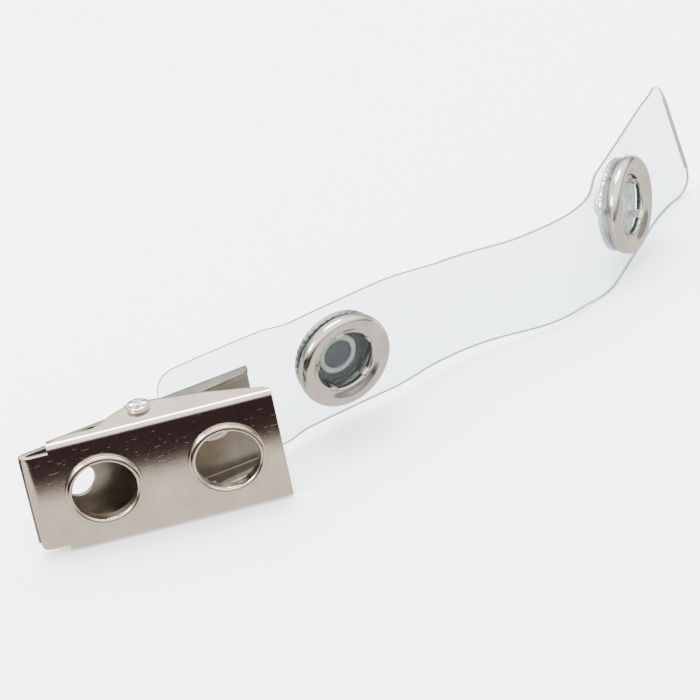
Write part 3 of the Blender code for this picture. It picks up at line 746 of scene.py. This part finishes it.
def strap_rows(first, last):
    """Stations of one length of strap, closer together round its corners."""
    corner = [STRAP_CORNER * (1 - math.cos(math.radians(7.5 * k))) for k in range(12)]
    low = STRAP_CORNER if first <= 0 else first
    high = STRAP_LENGTH - STRAP_CORNER if last >= STRAP_LENGTH else last
    count = round((high - low) / ROW_STEP)
    rows = [low + (high - low) * k / count for k in range(count + 1)]
    if first <= 0:
        rows = corner + rows
    if last >= STRAP_LENGTH:
        rows += [STRAP_LENGTH - c for c in reversed(corner)]
    return rows


def strap_section(across_half):
    """The strap's cross-section as (across, out): flat faces and softly rounded edges."""
    thick = STRAP_THICKNESS / 2
    rounding = STRAP_EDGE_ROUND
    flat = across_half - rounding
    count = 16
    front = [(flat * (1 - 2 * k / count), -thick) for k in range(count + 1)]
    back = [(-w, thick) for w, _ in front]
    turns = [math.radians(30 * k) for k in range(1, 4)]
    left = [
        (-flat - rounding * math.sin(a), -thick + rounding * (1 - math.cos(a))) for a in turns
    ]
    left.append((-across_half, thick - rounding))
    left += [
        (-flat - rounding * math.cos(a), thick - rounding * (1 - math.sin(a)))
        for a in turns[:2]
    ]
    right = [(-w, -d) for w, d in left]
    return front + left + back + right


def slanted(at, across, slants):
    """A station moved along the strap so that rows follow the slant of the fold lines."""
    return at + across * math.tan(math.radians(np.interp(at, slants[0], slants[1])))


def strap_mesh(name, first, last):
    """One length of strap, open at a seam and closed at the strap's own ends."""
    rows = strap_rows(first, last)
    seams = (
        [0, 8, *[f[0] for f in FOLDS], 60, STRAP_LENGTH], [0, 0, *[f[1] for f in FOLDS], 0, 0]
    )
    count = len(strap_section(STRAP_WIDTH / 2))
    points, faces, edge_faces = [], [], []
    for at in rows:
        for across, out in strap_section(half_width(at)):
            centre, _, width, back = strap_frame(slanted(at, across, seams))
            points.append(centre + width * across + back * out)
    for row in range(len(rows) - 1):
        for k in range(count):
            n = (k + 1) % count
            a, b = row * count, (row + 1) * count
            faces.append((a + k, a + n, b + n, b + k))
            edge_faces.append(k in EDGE_STRIPS)
    if first <= 0:
        faces.append(tuple(range(count)))
        edge_faces.append(True)
    if last >= STRAP_LENGTH:
        faces.append(tuple(range((len(rows) - 1) * count, len(rows) * count)))
        edge_faces.append(True)
    mesh = mesh_from(name, points, faces)
    for polygon, side in zip(mesh.polygons, edge_faces):
        polygon.material_index = 1 if side else 0
    face_outwards(mesh)
    return mesh


def strap_piece(name, mesh, finishes, stands_for):
    """Puts one length of strap in the row frame, shades it and hides the CAD parts it stands for.
    """
    mesh.transform(TO_ROW)
    for finish in finishes:
        mesh.materials.append(finish)
    mesh.shade_smooth()
    mesh.set_sharp_from_angle(angle=math.radians(60))
    made = bpy.data.objects.new(name, mesh)
    bpy.context.scene.collection.objects.link(made)
    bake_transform(made)
    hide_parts(*stands_for)


def build_strap(face, edge):
    """The strap as one length for each fold line, with seams midway between the folds."""
    stations = [fold[0] for fold in FOLDS]
    seams = [0] + [(a + b) / 2 for a, b in zip(stations, stations[1:])] + [STRAP_LENGTH]
    for k, (station, _, before, after) in enumerate(FOLDS):
        mesh = strap_mesh(f"vinyl_{k + 1}", seams[k], seams[k + 1])
        nodes = STRAP_NODES[:2] if k == 0 else STRAP_NODES[k + 1:k + 2]
        strap_piece(f"vinyl_strap_{k + 1}", mesh, (face, edge), nodes)


# ---------------------------------------------------------------- snap fastener

def prong_strips():
    """The ring's prongs: strips that fold down its inner wall and through the strap."""
    centre_line = (
        (3.2, 0.92), (3.03, 0.78), (2.94, 0.54), (2.9, 0.2), (2.9, -0.35), (3.0, -0.78),
    )
    made = bmesh.new()
    for k in range(PRONG_COUNT):
        turn = Matrix.Rotation(2 * math.pi * k / PRONG_COUNT + PRONG_TURN, 4, "Z")
        rows = []
        for index, (reach, height) in enumerate(centre_line):
            half = PRONG_WIDTH / 2 * (1.0 if index < 4 else 0.75)
            rows.append([made.verts.new(turn @ Vector((reach, side * half, height)))
                         for side in (-1, -0.4, 0.4, 1)])
        for upper, lower in zip(rows, rows[1:]):
            for j in range(3):
                made.faces.new((upper[j], upper[j + 1], lower[j + 1], lower[j]))
    bmesh.ops.recalc_face_normals(made, faces=made.faces)
    mesh = bpy.data.meshes.new("prongs")
    made.to_mesh(mesh)
    made.free()
    holder = scratch_object("prongs", mesh)
    shell = holder.modifiers.new("sheet", "SOLIDIFY")
    shell.thickness = PRONG_SHEET
    shell.offset = 0
    rounding = holder.modifiers.new("edges", "BEVEL")
    rounding.width = EDGE_ROUND
    rounding.segments = 2
    return baked(holder)


def prong_ring(name, finish, station, body, node):
    """Open front ring of the snap: a domed hoop, a turned-in lip, and its prongs."""
    profile = arc((4.2, 0.6), 0.7, 62, -8, 10)
    profile += [(4.88, 0.25), (4.78, 0.05), (4.6, 0.0), (3.35, 0.0), (3.12, 0.1)]
    profile += arc((3.28, 0.56), 0.27, 200, 105, 7)
    profile += [(3.5, 0.96), (3.75, 1.14), (4.0, 1.25), (4.25, 1.29)]
    hoop = turned(name, profile, 144)
    frame_here = snap_matrix(station, -1, TOUCH)
    both = joined(name, [hoop, prong_strips()])
    piece(name, both, [finish], body, [node], frame_here, 30)


def back_plate():
    """Section of a back piece's base, from its outer top edge in to the hub's foot."""
    points = arc((4.45, RIM_TOP - 0.2), 0.2, 90, 0, 4)
    points += [(4.65, 0.12), (4.5, 0.0), (3.35, 0.0), (3.2, 0.38), (2.2, 0.38), (2.08, 0.12)]
    points += [(2.0, 0.02), (1.9, 0.0), (1.72, 0.0), (1.6, 0.03)]
    return points


def build_socket(finish, shade, wire):
    """Back piece near the clip: a cup closed towards the strap, and its wire ring."""
    frame_here = snap_matrix(SNAP_STATION, 1, TOUCH)
    profile = [(2.1, 2.15), (2.35, 2.15)]
    profile += arc((2.5, 1.9), 0.25, 90, 0, 5)
    profile += [(2.75, 0.95)]
    profile += arc((3.05, 0.85), 0.3, 180, 270, 5)
    profile += back_plate()
    profile += [(1.5, 0.08), (1.45, 0.2), (0.0, 0.2)]
    profile += [(0.0, 0.32), (1.62, 0.32), (1.75, 0.45), (1.75, 1.15)]
    profile += [(2.05, 1.15), (2.05, 1.6), (1.75, 1.6), (1.75, 1.85), (1.85, 2.03)]
    closed = profile.index((0.0, 0.2))
    around = profile[closed + 1:] + profile[:closed + 1]
    mesh = turned("socket", around, 160)
    knurl(mesh)
    # Painted shade: near-black metal in the recess and on the closed centre, where shade falls in
    # the snap's recess and hole.
    paint_recess_shade(mesh, *PAINTED_SHADE_RECESS)
    paint_recess_shade(mesh, 0.0, 1.46, 0.25)
    piece(
        "snap_socket_cup", mesh, [finish, shade], "strap_base",
        ["snap_socket"], frame_here, 30,
    )
    points = []
    for k in range(65):
        angle = SOCKET_RING_GAP / 2 + (2 * math.pi - SOCKET_RING_GAP) * k / 64
        x, y = SOCKET_RING_RADIUS * math.cos(angle), SOCKET_RING_RADIUS * math.sin(angle)
        points.append((x, y, SOCKET_RING_HEIGHT))
    mesh = tube("ring", points, SOCKET_WIRE)
    piece(
        "socket_wire_ring", mesh, [wire], "strap_base",
        ["socket_spring"], frame_here, 50,
    )


def build_stud(finish, shade):
    """Back piece at the far end: a hollow post with a bulb that fits the socket."""
    frame_here = snap_matrix(STUD_STATION, 1, TOUCH)
    bulb = STUD_TOP - 0.55
    profile = [(0, STUD_TOP), (0.45, STUD_TOP), (0.8, STUD_TOP - 0.03)]
    profile += arc((0.86, bulb), 0.5, 80, -60, 12)
    profile += [(1.12, bulb - 0.75)]
    profile += arc((1.52, 0.95), 0.4, 180, 270, 6)
    profile += back_plate()
    profile += [(1.35, 0.06), (1.12, 0.2), (0.95, 0.45), (0.88, 0.9), (0.8, 1.02)]
    profile += [(0.5, 1.08), (0.25, 1.02), (0, 1.0)]
    mesh = turned("stud", profile, 160)
    knurl(mesh)
    # Painted shade: near-black metal in the recess, where shade falls.
    paint_recess_shade(mesh, *PAINTED_SHADE_RECESS)
    piece(
        "snap_stud_post", mesh, [finish, shade], "strap_end",
        ["snap_stud"], frame_here, 30,
    )


# ---------------------------------------------------------------- stage, light, camera

def build_stage():
    """A pale paper floor; glossy rays see a painted reflection instead, a darker glowing floor
    with a dark flag in front.
    """
    mesh = bpy.data.meshes.new("floor")
    made = bmesh.new()
    bmesh.ops.create_grid(made, x_segments=1, y_segments=1, size=FLOOR_SIZE)
    made.to_mesh(mesh)
    made.free()
    floor = bpy.data.objects.new("floor", mesh)
    floor.location.z = cad_low.z - FLOOR_DROP
    bpy.context.scene.collection.objects.link(floor)
    paper = Nodes("floor_paper_painted_reflection")
    paper.shader.inputs["Base Color"].default_value = (*FLOOR_TONE, 1)
    paper.shader.inputs["Roughness"].default_value = 0.9
    paper.shader.inputs["Specular IOR Level"].default_value = 0.0

    place = paper.add("ShaderNodeSeparateXYZ")
    paper.link(paper.place, place.inputs["Vector"])
    slope = paper.add("ShaderNodeMath", operation="MULTIPLY_ADD")
    paper.link(place.outputs["X"], slope.inputs[0])
    slope.inputs[1].default_value = FLAG_SLOPE
    paper.link(place.outputs["Y"], slope.inputs[2])
    front = paper.add("ShaderNodeMapRange", interpolation_type="SMOOTHSTEP")
    front.inputs["From Min"].default_value = FLAG_EDGE[0]
    front.inputs["From Max"].default_value = FLAG_EDGE[1]
    paper.link(slope.outputs["Value"], front.inputs["Value"])
    side = paper.add("ShaderNodeMapRange", interpolation_type="SMOOTHSTEP")
    side.inputs["From Min"].default_value = FLAG_SIDE[0]
    side.inputs["From Max"].default_value = FLAG_SIDE[1]
    paper.link(place.outputs["X"], side.inputs["Value"])
    open_floor = paper.add("ShaderNodeMath", operation="MAXIMUM")
    paper.link(front.outputs["Result"], open_floor.inputs[0])
    paper.link(side.outputs["Result"], open_floor.inputs[1])

    # Painted reflection: glossy rays see this glow, darker than the paper and near black at the
    # flag, in place of the lit floor.
    tone = paper.ramp(open_floor.outputs["Value"], ((0.0, PAINTED_FLAG_TONE), (1.0, REFLECTED_FLOOR)))
    reflected = paper.add("ShaderNodeEmission")
    paper.link(tone, reflected.inputs["Color"])
    reflected.inputs["Strength"].default_value = REFLECTED_STRENGTH
    ray = paper.add("ShaderNodeLightPath")
    mix = paper.add("ShaderNodeMixShader")
    paper.link(ray.outputs["Is Glossy Ray"], mix.inputs["Fac"])
    paper.link(paper.shader.outputs["BSDF"], mix.inputs[1])
    paper.link(reflected.outputs["Emission"], mix.inputs[2])
    paper.link(mix.outputs["Shader"], paper.output.inputs["Surface"])
    mesh.materials.append(paper.material)


def area_light(name, place, size, power):
    lamp = bpy.data.lights.new(name, "AREA")
    lamp.shape = "RECTANGLE"
    lamp.size, lamp.size_y = size
    lamp.energy = power
    made = bpy.data.objects.new(name, lamp)
    made.location = place
    made.rotation_euler = (-Vector(place)).to_track_quat("-Z", "Y").to_euler()
    bpy.context.scene.collection.objects.link(made)


def build_light():
    """An even white dome, which metal reflects as bright above and dark at the horizon."""
    world = bpy.data.worlds.new("studio")
    bpy.context.scene.world = world
    world.use_nodes = True
    tree = world.node_tree
    dome = tree.nodes["Background"]
    dome.inputs["Color"].default_value = (1.0, 1.0, 1.0, 1)
    dome.inputs["Strength"].default_value = DOME_STRENGTH
    place = tree.nodes.new("ShaderNodeTexCoord")
    height = tree.nodes.new("ShaderNodeSeparateXYZ")
    tree.links.new(place.outputs["Generated"], height.inputs["Vector"])
    ramp = tree.nodes.new("ShaderNodeValToRGB")
    while len(ramp.color_ramp.elements) < len(REFLECTED_DOME):
        ramp.color_ramp.elements.new(0.5)
    for element, (where, level) in zip(ramp.color_ramp.elements, REFLECTED_DOME):
        element.position = where
        element.color = (level, level, level, 1)
    tree.links.new(height.outputs["Z"], ramp.inputs["Fac"])
    reflected = tree.nodes.new("ShaderNodeBackground")
    reflected.inputs["Strength"].default_value = REFLECTED_DOME_STRENGTH
    tree.links.new(ramp.outputs["Color"], reflected.inputs["Color"])
    ray = tree.nodes.new("ShaderNodeLightPath")
    mix = tree.nodes.new("ShaderNodeMixShader")
    tree.links.new(ray.outputs["Is Glossy Ray"], mix.inputs["Fac"])
    tree.links.new(dome.outputs["Background"], mix.inputs[1])
    tree.links.new(reflected.outputs["Background"], mix.inputs[2])
    tree.links.new(mix.outputs["Shader"], tree.nodes["World Output"].inputs["Surface"])
    area_light("softbox", (0.02, 0.10, 0.40), (0.25, 0.2), 3.0)
    area_light("side", (-0.30, -0.05, 0.22), (0.12, 0.12), 0.8)


def build_camera():
    data = bpy.data.cameras.new("camera")
    data.sensor_width = SENSOR_WIDTH
    data.lens = LENS
    data.clip_start = 0.01
    forward = Vector((0, math.cos(CAMERA_ELEVATION), -math.sin(CAMERA_ELEVATION)))
    right = Vector((1, 0, 0))
    up = right.cross(forward)
    cosine, sine = math.cos(CAMERA_ROLL), math.sin(CAMERA_ROLL)
    axes = (right * cosine - up * sine, right * sine + up * cosine, -forward)
    turn = Matrix(axes).transposed().to_4x4()
    round_z = Matrix.Rotation(CAMERA_AZIMUTH, 4, "Z")
    place = Matrix.Translation(TO_ROW @ (round_z @ (CAMERA_TARGET - forward * CAMERA_DISTANCE)))
    camera = bpy.data.objects.new("camera", data)
    camera.matrix_world = place @ round_z @ turn
    bpy.context.scene.collection.objects.link(camera)
    bpy.context.scene.camera = camera


def build():
    plate = metal(
        "nickel_sheet", dark=(0.60, 0.51, 0.42), light=(0.72, 0.62, 0.52), rough=(0.07, 0.2),
        grain=0.15, grain_depth=0.009, wave_depth=0.008, scratched=True,
    )
    # Painted shade: the lower jaw's nickel made dark as the shaded inside of the clip.
    lower_jaw_painted_shade = metal(
        "nickel_lower_jaw_painted_shade", dark=(0.20, 0.18, 0.155), light=(0.30, 0.27, 0.235),
        rough=(0.24, 0.4), grain=0.18, grain_depth=0.006, wave_depth=0.01,
    )
    bright = metal(
        "nickel_bright", dark=(0.54, 0.49, 0.44), light=(0.70, 0.64, 0.58),
        rough=(0.07, 0.2), grain=0.14, grain_depth=0.005, wave_depth=0.02,
    )
    # Painted shade: near-black metal standing in for the shade in the snaps' recesses and the
    # socket's centre.
    shade = metal(
        "nickel_recess_painted_shade", dark=(0.024, 0.020, 0.022), light=(0.055, 0.046, 0.048),
        rough=(0.3, 0.45), grain=0.2, grain_depth=0.006,
    )
    wire = metal(
        "spring_wire", dark=(0.28, 0.28, 0.29), light=(0.38, 0.38, 0.39),
        rough=(0.25, 0.4), grain=0.1, grain_depth=0.004,
    )
    face = vinyl(
        "vinyl_face", tint=(0.865, 0.915, 0.925), veil=0.02, body_colour=(0.82, 0.88, 0.9),
        rough=0.06,
    )
    # Cut edges: the vinyl's own greenish tint through the sheet, made dark and nearly opaque as
    # painted shade for the dark line a clear edge shows.
    edge = vinyl(
        "vinyl_edge", tint=(0.5, 0.52, 0.46), veil=0.86, body_colour=(0.11, 0.115, 0.095),
        rough=0.2,
    )
    build_jaws(plate, lower_jaw_painted_shade)
    build_pin(bright)
    build_torsion_spring(wire)
    build_strap_rivet(bright)
    build_strap(face, edge)
    prong_ring("near_ring_hoop", bright, SNAP_STATION, "strap_base", "near_prong_ring")
    prong_ring("far_ring_hoop", bright, STUD_STATION, "strap_end", "far_prong_ring")
    build_socket(bright, shade, wire)
    build_stud(bright, shade)
    build_stage()
    build_light()
    build_camera()


build()
